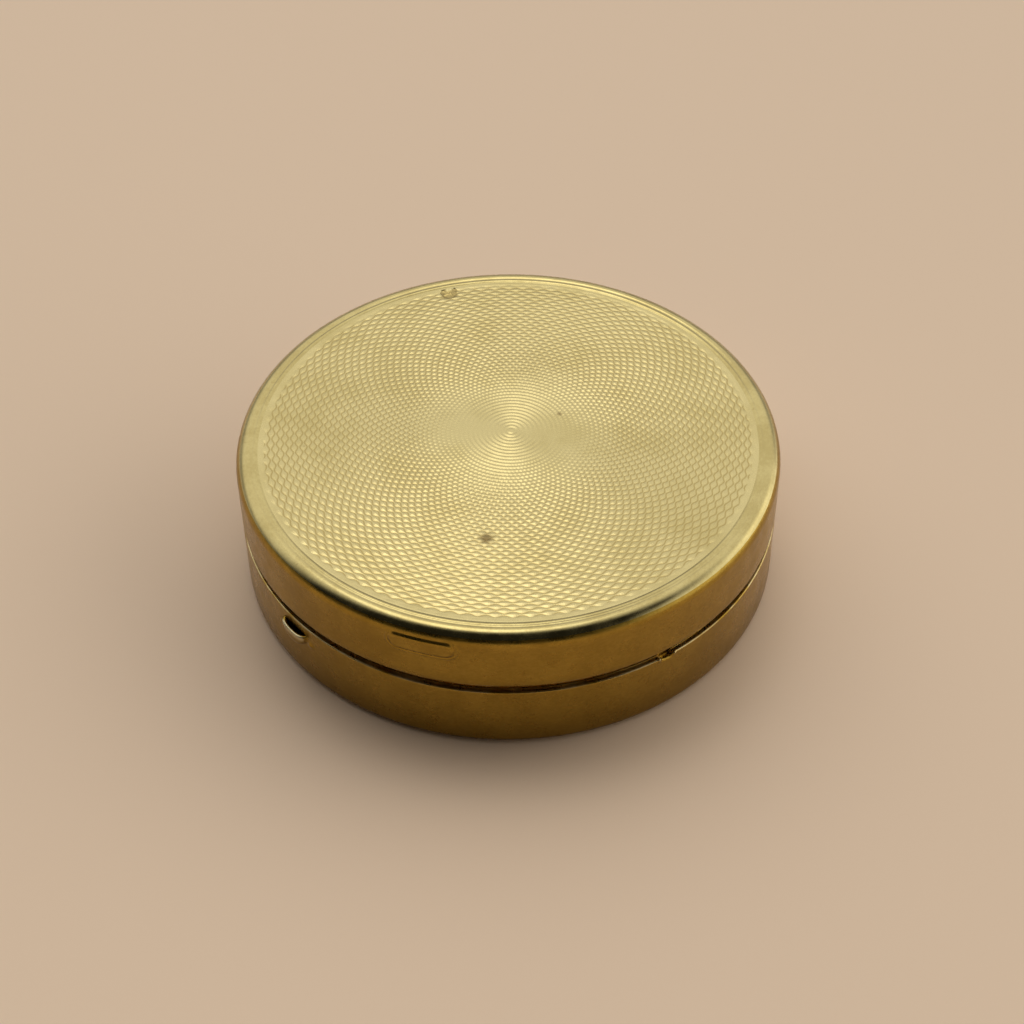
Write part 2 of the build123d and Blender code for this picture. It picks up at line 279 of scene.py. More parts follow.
    def bump(self, height: Socket, depth: float, normal: Optional[Socket] = None) -> Socket:
        """Roughens the surface's normal.

        Args:
            height: the relief, from 0 to 1.
            depth: the relief's real height in metres.
            normal: a normal that it adds to.

        Returns:
            The new normal.
        """
        node = self.add("ShaderNodeBump")
        node.inputs["Strength"].default_value = 1.0
        node.inputs["Distance"].default_value = depth
        self.feed(node.inputs["Height"], height)
        if normal is not None:
            self.feed(node.inputs["Normal"], normal)
        return node.outputs[0]


# --------------------------------------------------------------------------- finishes


@dataclass(frozen=True)
class EngineTurnedGilt:
    """The lid's face: gilt brass in the crest colour, with painted shade that turns the bottoms of the cuts
    brown.
    """

    name: str = "engine_turned_gilt"
    crest: Colour = (0.545, 0.455, 0.215)
    # cut: the colour of the painted shade in the bottoms of the cuts
    cut: Colour = (0.34, 0.25, 0.085)
    tarnish: Colour = (0.44, 0.355, 0.145)
    stain: Colour = (0.14, 0.085, 0.03)
    roughness: tuple[float, float] = (0.20, 0.32)

    def make(self, face: float, depth: float) -> bpy.types.Material:
        """Makes the material.

        Args:
            face: the height of the crests.
            depth: how deep the cuts are.

        Returns:
            The material.
        """
        graph = Graph(self.name)
        distance, height, _ = graph.around()
        # Painted shade: sunk marks the bottoms of the cuts, below six tenths of their depth.
        sunk = graph.ramp(height, face - 0.6 * depth, face - depth)
        cloud = graph.noise(5 * MM, 4, 0.6)
        colour = graph.mix(graph.ramp(cloud, 0.4, 0.75, 0.0, 0.6), self.crest, self.tarnish)
        # Painted shade: the bottoms of the cuts are darkened towards the cut colour.
        colour = graph.mix(graph.sum("MULTIPLY", sunk, 0.75), colour, self.cut)
        spots = graph.sum(
            "MAXIMUM",
            graph.sum("MULTIPLY", graph.spot((-2.0 * MM, -13.0 * MM, face), 0.95 * MM, 0.9), 0.75),
            graph.sum("MULTIPLY", graph.spot((4.8 * MM, 3.2 * MM, face), 0.4 * MM, 0.8), 0.5),
        )
        grime = graph.sum("MAXIMUM", spots, graph.ramp(graph.noise(0.5 * MM, 2), 0.74, 0.82, 0.0, 0.5))
        graph.set("Base Color", graph.mix(grime, colour, self.stain))
        graph.set("Metallic", 1.0)
        worn = graph.ramp(graph.noise(0.9 * MM, 4, 0.7), 0.3, 0.75, *self.roughness)
        graph.set("Roughness", graph.sum("ADD", worn, graph.sum("MULTIPLY", grime, 0.25)))
        graph.set("Normal", graph.bump(graph.noise(0.12 * MM, 3, 0.6), 0.006 * MM))
        return graph.material


@dataclass(frozen=True)
class TurnedMetal:
    """A sheet metal finish with turning marks, cloudy tarnish, small handling marks and, where asked, painted
    shade near the floor.
    """

    name: str
    bright: Colour
    dull: Colour
    # grime: the colour of the flecks, also the tint of the painted shade near the floor
    grime: Colour
    roughness: tuple[float, float]
    cloud_size: float = 4 * MM
    line_depth: float = 0.002 * MM
    grime_share: float = 0.35
    # How strong the painted shade near the floor is, and how high it reaches.
    foot_shade: float = 0.0
    foot_shade_height: float = 0.0
    worn: Colour = (0.66, 0.58, 0.36)
    worn_from: float = 5.0 * MM

    def make(self, radius: float, worn_heights: Sequence[tuple[float, float]] = ()) -> bpy.types.Material:
        """Makes the material.

        Args:
            radius: the radius that the turning marks run round, past which the finish is worn.
            worn_heights: where an edge is rubbed: the height at which the wear starts and is full.

        Returns:
            The material.
        """
        graph = Graph(self.name)
        unrolled = graph.turned_place(radius)
        cloud = graph.noise(self.cloud_size, 5, 0.62)
        grain = graph.noise(0.22 * MM, 3, 0.7, graph.stretch((0.6, 1.0, 1.0), unrolled))
        patch = graph.sum("ADD", graph.sum("MULTIPLY", cloud, 0.6), graph.sum("MULTIPLY", grain, 0.4))
        colour = graph.mix(graph.ramp(patch, 0.36, 0.64), self.bright, self.dull)
        fleck = graph.ramp(graph.noise(0.55 * MM, 4, 0.7), 0.60, 0.78, 0.0, self.grime_share)
        colour = graph.mix(fleck, colour, self.grime)
        distance, height, _ = graph.around()
        # Painted shade: the wall is darkened towards the grime colour from the floor up, fading out at the
        # given height.
        if self.foot_shade:
            low = graph.ramp(height, 0.0, self.foot_shade_height, self.foot_shade, 0.0)
            colour = graph.mix(low, colour, self.grime)
        for start, full in worn_heights:
            patchy = graph.ramp(graph.noise(3 * MM, 3), 0.35, 0.6)
            rubbed = graph.sum("MULTIPLY", graph.ramp(height, start, full, 0.0, 0.6), patchy)
            colour = graph.mix(rubbed, colour, self.worn)
        proud = graph.ramp(distance, radius + 0.22 * MM, radius + 0.42 * MM, 0.0, 0.9)
        proud = graph.sum("MULTIPLY", proud, graph.ramp(height, self.worn_from, self.worn_from + 0.6 * MM))
        colour = graph.mix(proud, colour, self.worn)
        graph.set("Base Color", colour)
        graph.set("Metallic", 1.0)
        rub = graph.noise(1.6 * MM, 5, 0.65)
        graph.set("Roughness", graph.ramp(rub, 0.3, 0.7, *self.roughness))
        lines = graph.noise(0.16 * MM, 3, 0.6, graph.stretch((0.02, 1.0, 1.0), unrolled))
        pits = graph.noise(0.35 * MM, 4, 0.6)
        first = graph.bump(lines, self.line_depth)
        graph.set("Normal", graph.bump(pits, 1.5 * self.line_depth, first))
        return graph.material


WALL_GILT = TurnedMetal(
    name="aged_wall_gilt",
    bright=(0.405, 0.258, 0.044),
    dull=(0.315, 0.195, 0.030),
    grime=(0.16, 0.092, 0.016),
    roughness=(0.24, 0.36),
    # Painted shade: the lowest 4 mm of the wall are darkened towards the grime colour.
    foot_shade=0.45,
    foot_shade_height=4.0 * MM,
)
RIM_GILT = TurnedMetal(
    name="polished_rim_gilt",
    bright=(0.52, 0.43, 0.19),
    dull=(0.43, 0.345, 0.14),
    grime=(0.26, 0.18, 0.06),
    roughness=(0.13, 0.24),
)
INNER_GILT = TurnedMetal(
    name="clean_inner_gilt",
    bright=(0.80, 0.62, 0.28),
    dull=(0.70, 0.52, 0.22),
    grime=(0.45, 0.32, 0.12),
    roughness=(0.18, 0.30),
    grime_share=0.2,
)
HINGE_BRASS = TurnedMetal(
    name="hinge_brass",
    bright=(0.52, 0.36, 0.12),
    dull=(0.40, 0.26, 0.08),
    grime=(0.15, 0.09, 0.03),
    roughness=(0.22, 0.36),
    cloud_size=1.5 * MM,
)
SPRING_BRONZE = TurnedMetal(
    name="spring_bronze",
    bright=(0.62, 0.38, 0.20),
    dull=(0.50, 0.30, 0.15),
    grime=(0.22, 0.12, 0.06),
    roughness=(0.25, 0.38),
    cloud_size=1.5 * MM,
)
DRAWN_STEEL = TurnedMetal(
    name="drawn_steel",
    bright=(0.60, 0.58, 0.55),
    dull=(0.46, 0.44, 0.42),
    grime=(0.20, 0.14, 0.09),
    roughness=(0.25, 0.42),
    cloud_size=1.0 * MM,
)
PAN_TIN = TurnedMetal(
    name="pan_tin",
    bright=(0.72, 0.71, 0.68),
    dull=(0.60, 0.59, 0.56),
    grime=(0.40, 0.34, 0.28),
    roughness=(0.28, 0.42),
)


@dataclass(frozen=True)
class SilveredGlass:
    """The mirror: silvered glass with faint spots where the silver has gone at the edge."""

    name: str = "silvered_glass"
    silver: Colour = (0.84, 0.86, 0.86)
    spotted: Colour = (0.30, 0.27, 0.22)

    def make(self, radius: float) -> bpy.types.Material:
        """Makes the material.

        Args:
            radius: the glass's radius.

        Returns:
            The material.
        """
        graph = Graph(self.name)
        distance, _, _ = graph.around()
        edge = graph.ramp(distance, radius - 2.5 * MM, radius, 0.0, 0.9)
        spots = graph.ramp(graph.noise(0.7 * MM, 4, 0.7), 0.58, 0.70)
        haze = graph.ramp(graph.noise(6 * MM, 3), 0.4, 0.8, 0.012, 0.035)
        graph.set("Base Color", graph.mix(graph.sum("MULTIPLY", edge, spots), self.silver, self.spotted))
        graph.set("Metallic", 1.0)
        graph.set("Roughness", haze)
        return graph.material


@dataclass(frozen=True)
class SoftFinish:
    """A matt finish: card, pressed powder, velour, satin or ribbon."""

    name: str
    light: Colour
    shade: Colour
    grain: float
    grain_depth: float
    cloud_size: float = 3 * MM
    roughness: float = 0.85
    sheen: float = 0.0
    ribs: float = 0.0
    rib_depth: float = 0.0

    def make(self) -> bpy.types.Material:
        """Makes the material.

        Returns:
            The material.
        """
        graph = Graph(self.name)
        cloud = graph.ramp(graph.noise(self.cloud_size, 4, 0.6), 0.3, 0.7)
        speck = graph.ramp(graph.noise(self.grain, 3, 0.6), 0.35, 0.75)
        share = graph.sum("ADD", graph.sum("MULTIPLY", cloud, 0.45), graph.sum("MULTIPLY", speck, 0.45))
        graph.set("Base Color", graph.mix(share, self.light, self.shade))
        graph.set("Roughness", self.roughness)
        graph.set("Sheen Weight", self.sheen)
        graph.set("Sheen Roughness", 0.45)
        normal = graph.bump(speck, self.grain_depth)
        if self.ribs:
            apart = graph.add("ShaderNodeSeparateXYZ")
            graph.feed(apart.inputs[0], graph.place)
            wave = graph.sum("SINE", graph.sum("MULTIPLY", apart.outputs[0], TURN / self.ribs))
            normal = graph.bump(graph.sum("MULTIPLY_ADD", wave, 0.5, 0.5), self.rib_depth, normal)
        graph.set("Normal", normal)
        return graph.material


BACKING_CARD = SoftFinish("backing_card", (0.36, 0.28, 0.20), (0.25, 0.19, 0.13), 0.12 * MM, 0.02 * MM)
PRESSED_POWDER = SoftFinish("pressed_powder", (0.92, 0.66, 0.48), (0.80, 0.53, 0.37), 0.06 * MM, 0.015 * MM)
PUFF_VELOUR = SoftFinish(
    "puff_velour", (0.94, 0.80, 0.64), (0.80, 0.64, 0.49), 0.09 * MM, 0.09 * MM, roughness=0.95, sheen=0.6
)
PUFF_SATIN = SoftFinish(
    "puff_satin", (0.95, 0.78, 0.64), (0.86, 0.66, 0.52), 0.05 * MM, 0.006 * MM, roughness=0.32, sheen=0.2,
    ribs=0.10 * MM, rib_depth=0.004 * MM,
)
RIBBON_GROSGRAIN = SoftFinish(
    "ribbon_grosgrain", (0.88, 0.64, 0.50), (0.72, 0.49, 0.37), 0.05 * MM, 0.01 * MM, roughness=0.5, sheen=0.2
)


# --------------------------------------------------------------------------- meshes


def add_piece(
    name: str,
    points: Sequence[Point],
    faces: Iterable[Sequence[int]],
    body: Body,
    materials: Sequence[bpy.types.Material],
    replaced: Sequence[str] = (),
    smooth: bool = True,
) -> bpy.types.Object:
    """Makes one piece from its points and faces, dresses it and puts it on its body.

    Args:
        name: the piece's name.
        points: its corners.
        faces: the corners of each face, by number.
        body: the body that it moves with.
        materials: its materials, the first on every face.
        replaced: the frame nodes that it stands for.
        smooth: whether its faces are shaded smooth.

    Returns:
        The new object.
    """
    mesh = bpy.data.meshes.new(name)
    mesh.from_pydata([tuple(map(float, point)) for point in points], [], [tuple(face) for face in faces])
    work = bmesh.new()
    work.from_mesh(mesh)
    bmesh.ops.recalc_face_normals(work, faces=work.faces)
    work.to_mesh(mesh)
    work.free()
    mesh.polygons.foreach_set("use_smooth", [smooth] * len(mesh.polygons))
    piece = bpy.data.objects.new(name, mesh)
    bpy.context.scene.collection.objects.link(piece)
    for material in materials:
        mesh.materials.append(material)
    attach(piece, body.value)
    if replaced:
        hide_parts(*replaced)
    log.info("%s: %d faces on %s", name, len(mesh.polygons), body.value)
    return piece


def dress(node: str, material: bpy.types.Material, soften: float = 0.0) -> bpy.types.Object:
    """Gives a frame node that stays in sight its material.

    Args:
        node: the node's name.
        material: its finish.
        soften: how far its sharp edges are rounded.

    Returns:
        The node's object.
    """
    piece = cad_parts[node]
    piece.data.materials.clear()
    piece.data.materials.append(material)
    if soften:
        rounding = piece.modifiers.new("softened edges", "BEVEL")
        rounding.width = soften
        rounding.segments = 2
        rounding.limit_method = "ANGLE"
        rounding.angle_limit = math.radians(50)
        rounding.use_clamp_overlap = True
    log.info("%s: kept, with %s", node, material.name)
    return piece


def sweep_arc(
    centre: tuple[float, float], across: float, up: float, start: float, end: float, steps: int
) -> Outline:
    """Points on a stretch of an ellipse.

    Args:
        centre: its middle, as distance from the axis and height.
        across: its half width.
        up: its half height.
        start: the first angle in degrees.
        end: the last angle in degrees.
        steps: how many spans there are.

    Returns:
        The points, both ends included.
    """
    angles = np.radians(np.linspace(start, end, steps + 1))
    return [(centre[0] + across * math.cos(a), centre[1] + up * math.sin(a)) for a in angles]


def step_line(start: tuple[float, float], end: tuple[float, float], step: float) -> Outline:
    """Points along a straight stretch, without its first.

    Args:
        start: where it starts.
        end: where it ends.
        step: the longest span.

    Returns:
        The points after the start.
    """
    count = max(1, math.ceil(math.dist(start, end) / step - 1e-6))
    shares = [place / count for place in range(1, count + 1)]
    across, up = end[0] - start[0], end[1] - start[1]
    return [(start[0] + share * across, start[1] + share * up) for share in shares]


def ease_between(start: tuple[float, float], end: tuple[float, float], steps: int) -> Outline:
    """Points along a stretch that leaves and arrives level, without its first.

    Args:
        start: where it starts.
        end: where it ends.
        steps: how many spans there are.

    Returns:
        The points after the start.
    """
    across, up = end[0] - start[0], end[1] - start[1]
    shares = [step / steps for step in range(1, steps + 1)]
    return [
        (start[0] + share * across, start[1] + (0.5 - 0.5 * math.cos(math.pi * share)) * up)
        for share in shares
    ]


def spread_angles(count: int, windows: Sequence[tuple[float, float, int]]) -> np.ndarray:
    """Angles round a turned wall, closer together where it carries small relief.

    Args:
        count: how many there are on the plain wall.
        windows: middle and half width in radians, and how many angles each close stretch has.

    Returns:
        The angles in order, from 0 to a full turn.
    """
    angles = list(np.arange(count) * TURN / count)
    for middle, half, _ in windows:
        clear = half + TURN / count / 2
        angles = [a for a in angles if abs((a - middle + HALF_TURN) % TURN - HALF_TURN) > clear]
    for middle, half, extra in windows:
        angles += [float(a) % TURN for a in np.linspace(middle - half, middle + half, extra)]
    return np.array(sorted(angles))


@dataclass
class TurnedPiece:
    """A closed turned form: an outline that starts and ends on the axis, swept round it."""

    outline: Outline
    angles: np.ndarray

    def relief(self, angle: np.ndarray, distance: np.ndarray, height: np.ndarray, row: int) -> Rows:
        """Moves a row's points; a plain turned piece leaves them.

        Args:
            angle: the angle of each point.
            distance: the distance of each from the axis.
            height: the height of each.
            row: the row's number in the outline; not used.

        Returns:
            The new distances and heights.
        """
        return distance, height

    def surface(self) -> tuple[list[Point], Faces, list[int]]:
        """Sweeps the outline.

        Returns:
            The points, the faces, and the outline row that each face starts at.
        """
        points: list[Point] = [(0.0, 0.0, self.outline[0][1])]
        faces: Faces = []
        rows: list[int] = []
        count = len(self.angles)
        last = len(self.outline) - 1
        for row in range(1, last):
            distance, height = self.relief(
                self.angles,
                np.full(count, self.outline[row][0]),
                np.full(count, self.outline[row][1]),
                row,
            )
            points += list(zip(distance * np.cos(self.angles), distance * np.sin(self.angles), height))
        points.append((0.0, 0.0, self.outline[last][1]))
        for column in range(count):
            following = (column + 1) % count
            faces.append((0, 1 + column, 1 + following))
            rows.append(0)
            for row in range(1, last - 1):
                near = 1 + (row - 1) * count
                far = near + count
                faces.append((near + column, far + column, far + following, near + following))
                rows.append(row)
            top = 1 + (last - 2) * count
            faces.append((top + column, len(points) - 1, top + following))
            rows.append(last - 1)
        return points, faces, rows


# --------------------------------------------------------------------------- lid


@dataclass
class EngineTurning:
    """Barleycorn engine turning: rings of wavy V cuts, each ring half a wave on from the last."""

    centre: tuple[float, float] = (0.3 * MM, 0.95 * MM)
    pitch: float = 0.43 * MM
    rings: int = 56
    waves: int = 96
    steps_per_wave: int = 8
    swing: float = 0.27
    slope: float = 0.15
    plain_radius: float = 3.0 * MM
    full_radius: float = 11.0 * MM
    fade_from: float = 22.75 * MM
    fade_width: float = 0.45 * MM
    rim_radius: float = 22.85 * MM
    hidden_edge: float = 23.2 * MM
    thickness: float = 0.3 * MM
    dent_place: tuple[float, float] = (-5.75 * MM, 21.4 * MM)
    dent_size: float = 0.55 * MM
    dent_depth: float = 0.10 * MM

    @property
    def deepest(self) -> float:
        """How deep the deepest cuts are below the crests."""
        return self.depth(self.full_radius)

    def depth(self, radius: float) -> float:
        """How deep a cut is at a radius, so that every crest reaches the face."""
        return self.slope * (self.pitch / 2 + self.ring_swing(radius))

    def ring_swing(self, radius: float) -> float:
        """How far a cut swings to each side at a radius."""
        share = min(1.0, max(0.0, (radius - self.plain_radius) / (self.full_radius - self.plain_radius)))
        return self.swing * self.pitch * share * share * (3 - 2 * share)

    def cut_row(self, ring: int, angles: np.ndarray, face: float) -> np.ndarray:
        """The bottom of one wavy cut.

        Args:
            ring: the ring's number from the middle.
            angles: the angle of each point.
            face: the height of the crests.

        Returns:
            The row's points.
        """
        radius = ring * self.pitch
        wave = np.cos(self.waves * angles + ring * HALF_TURN)
        distance = radius + self.ring_swing(radius) * wave
        return self.row(distance, angles, np.full(len(angles), -self.depth(radius)), face)

    def crest_row(self, ring: int, angles: np.ndarray, face: float) -> np.ndarray:
        """The crest outside one wavy cut, high where its two cuts are far apart.

        Args:
            ring: the ring's number from the middle.
            angles: the angle of each point.
            face: the height of the crests.

        Returns:
            The row's points.
        """
        radius = (ring + 0.5) * self.pitch
        wave = np.cos(self.waves * angles + ring * HALF_TURN)
        half_gap = self.pitch / 2 - self.ring_swing(radius) * wave
        sunk = np.minimum(0, self.slope * half_gap - self.depth(radius))
        return self.row(np.full(len(angles), radius), angles, sunk, face)

    def row(self, distance: np.ndarray, angles: np.ndarray, sunk: np.ndarray, face: float) -> np.ndarray:
        """Points about the pattern's own middle; the pattern fades out where it meets the rim.

        Args:
            distance: from the pattern's middle.
            angles: about the pattern's middle.
            sunk: the height of each point above the crests, zero or less.
            face: the height of the crests.

        Returns:
            The points.
        """
        x = self.centre[0] + distance * np.cos(angles)
        y = self.centre[1] + distance * np.sin(angles)
        reach = np.hypot(x, y)
        outermost = (self.rings + 0.5) * self.pitch + math.hypot(*self.centre)
        squeeze = (self.hidden_edge - 0.1 * MM - self.fade_from) / (outermost - self.fade_from)
        kept = np.where(reach > self.fade_from, self.fade_from + squeeze * (reach - self.fade_from), reach)
        scale = kept / np.maximum(reach, 1e-9)
        fade = np.clip((self.fade_from - reach) / self.fade_width, 0, 1)
        return np.stack([x * scale, y * scale, face + sunk * fade - self.dent(x, y)], axis=1)

    def dent(self, x: np.ndarray, y: np.ndarray) -> np.ndarray:
        """How deep the small U-shaped knock at the back of the face is.

        Args:
            x: across the face.
            y: from front to back.

        Returns:
            The depth at each point.
        """
        across = x - self.dent_place[0]
        along = y - self.dent_place[1]
        bend = np.hypot(across, np.minimum(along, 0)) - self.dent_size
        ends = np.clip((2.2 * self.dent_size - along) / (1.4 * self.dent_size), 0, 1)
        groove = np.exp(-((bend / (0.35 * self.dent_size)) ** 2))
        inside = np.exp(-((np.hypot(across, along) / self.dent_size) ** 4))
        return self.dent_depth * (groove * ends + 0.35 * inside)

    def surface(self, face: float) -> tuple[list[np.ndarray], Faces]:
        """Builds the face as a closed disc.

        Args:
            face: the height of the crests.

        Returns:
            The points and the faces.
        """
        fine = np.arange(self.waves * self.steps_per_wave) * TURN / (self.waves * self.steps_per_wave)
        coarse = fine[::2]
        rows = [self.row(np.zeros(1), np.zeros(1), np.zeros(1), face)]
        for ring in range(self.rings + 1):
            angles = coarse if (ring + 0.5) * self.pitch < self.plain_radius + self.pitch else fine
            if ring:
                rows.append(self.cut_row(ring, angles, face))
            if ring < self.rings:
                rows.append(self.crest_row(ring, angles, face))
        edge = self.row(np.full(len(fine), (self.rings + 0.5) * self.pitch), fine, np.zeros(len(fine)), face)
        outer = self.hidden_edge * np.stack([np.cos(fine), np.sin(fine)], axis=1)
        outer = np.column_stack([outer, np.full(len(fine), face - 0.01 * MM)])
        rows += [edge, outer]
        below = outer.copy()
        below[:, 2] = face - self.thickness
        rows += [below, np.array([[0.0, 0.0, face - self.thickness]])]
        return join_rows(rows)


def join_rows(rows: Sequence[np.ndarray]) -> tuple[list[np.ndarray], Faces]:
    """Joins rings of points into faces; a ring may have one point, or half as many as the next.

    Args:
        rows: the rings of points, in order.

    Returns:
        The points and the faces.
    """
    starts = np.cumsum([0] + [len(row) for row in rows])
    faces: Faces = []
    for near, far, near_row, far_row in zip(starts, starts[1:], rows, rows[1:]):
        near_count, far_count = len(near_row), len(far_row)
        near, far = int(near), int(far)
        if near_count == 1:
            faces += [(near, far + place, far + (place + 1) % far_count) for place in range(far_count)]
        elif far_count == 1:
            faces += [(near + place, far, near + (place + 1) % near_count) for place in range(near_count)]
        elif near_count == far_count:
            for place in range(near_count):
                following = (place + 1) % near_count
                faces.append((near + place, far + place, far + following, near + following))
        else:
            for place in range(near_count):
                following = (place + 1) % near_count
                outer = [far + (2 * place + step) % far_count for step in range(3)]
                faces.append((near + place, *outer, near + following))
    return list(np.concatenate(rows)), faces


@dataclass
class LidShell(TurnedPiece):
    """The lid's drawn cup: its turned rim, its wall with the obround boss, and its inside."""

    outline: Outline = field(default_factory=list)
    angles: np.ndarray = field(default_factory=lambda: np.zeros(0))
    radius: float = 25 * MM
    low: float = 7.6 * MM
    top: float = 13.6 * MM
    wall: float = 0.6 * MM
    sheet: float = 0.7 * MM
    face_drop: float = 0.08 * MM
    lip_round: float = 0.13 * MM
    edge_roll: float = 1.22 * MM
    groove_inset: float = 1.5 * MM
    groove_depth: float = 0.05 * MM
    roll_rows_like_wall: int = 9
    lip_rows: int = 5
    obround_bearing: float = math.radians(-107.6)
    obround_height: float = 11.7 * MM
    obround_length: float = 6.6 * MM
    obround_width: float = 2.4 * MM
    obround_bead: float = 0.11 * MM
    obround_bead_rise: float = 0.09 * MM
    obround_flank: float = 0.42 * MM
    obround_rise: float = 0.19 * MM

    @property
    def face(self) -> float:
        """The height of the engine turning's crests."""
        return self.top - self.face_drop

    def plan(self, turning: EngineTurning) -> None:
        """Works out the outline and the angles.

        Args:
            turning: the engine turning that the rim surrounds.
        """
        face, radius, top = self.face, self.radius, self.top
        seat = face - turning.thickness - 0.01 * MM
        inner = radius - self.wall
        ceiling = top - self.sheet
        roll = self.edge_roll
        groove = radius - self.groove_inset
        hidden = turning.hidden_edge + 0.01 * MM
        outline: Outline = [(0, seat), (hidden, seat), (hidden, face - 0.05 * MM)]
        outline.append((turning.rim_radius, face - 0.02 * MM))
        outline += ease_between(outline[-1], (groove - 0.25 * MM, top), 10)
        outline += ease_between(outline[-1], (groove, top - self.groove_depth), 8)
        outline += ease_between(outline[-1], (radius - roll, top), 8)
        outline += sweep_arc((radius - roll, top - roll), roll, roll, 90, 0, 20)[1:]
        fine_low = self.obround_height - self.obround_width / 2 - 0.4 * MM
        outline += step_line(outline[-1], (radius, fine_low), 0.08 * MM)
        outline += step_line(outline[-1], (radius, self.low + self.lip_round), 0.6 * MM)
        edge, turned_in = self.lip_round, self.low + self.lip_round
        outline += sweep_arc((radius - edge, turned_in), edge, edge, 0, -90, 4)[1:]
        outline += sweep_arc((inner + edge, turned_in), edge, edge, -90, -180, 4)
        outline += step_line(outline[-1], (inner, ceiling - 0.5 * MM), 0.6 * MM)
        outline += sweep_arc((inner - 0.5 * MM, ceiling - 0.5 * MM), 0.5 * MM, 0.5 * MM, 0, 90, 6)[1:]
        outline += [(inner * 0.6, ceiling), (0, ceiling)]
        self.outline = outline
        half = (self.obround_length / 2 + 0.5 * MM) / radius
        self.angles = spread_angles(300, [(self.obround_bearing % TURN, half, 96)])

    def relief(self, angle: np.ndarray, distance: np.ndarray, height: np.ndarray, row: int) -> Rows:
        """Raises the obround boss and the fine line round it on the wall."""
        if distance[0] < self.radius - 0.01 * MM:
            return distance, height
        along = ((angle - self.obround_bearing + HALF_TURN) % TURN - HALF_TURN) * self.radius
        straight = (self.obround_length - self.obround_width) / 2
        past = np.maximum(np.abs(along) - straight, 0)
        middle_line = self.obround_width / 2 - self.obround_bead
        from_line = np.hypot(past, height - self.obround_height) - middle_line
        bead = np.clip(1 - np.abs(from_line) / self.obround_bead, 0, 1)
        boss = np.clip((-from_line - 0.5 * self.obround_bead) / self.obround_flank, 0, 1)
        raised = self.obround_bead_rise * bead * (2 - bead)
        raised = raised + self.obround_rise * boss * boss * (3 - 2 * boss)
        return distance + np.minimum(raised, self.obround_rise), height


# --------------------------------------------------------------------------- base


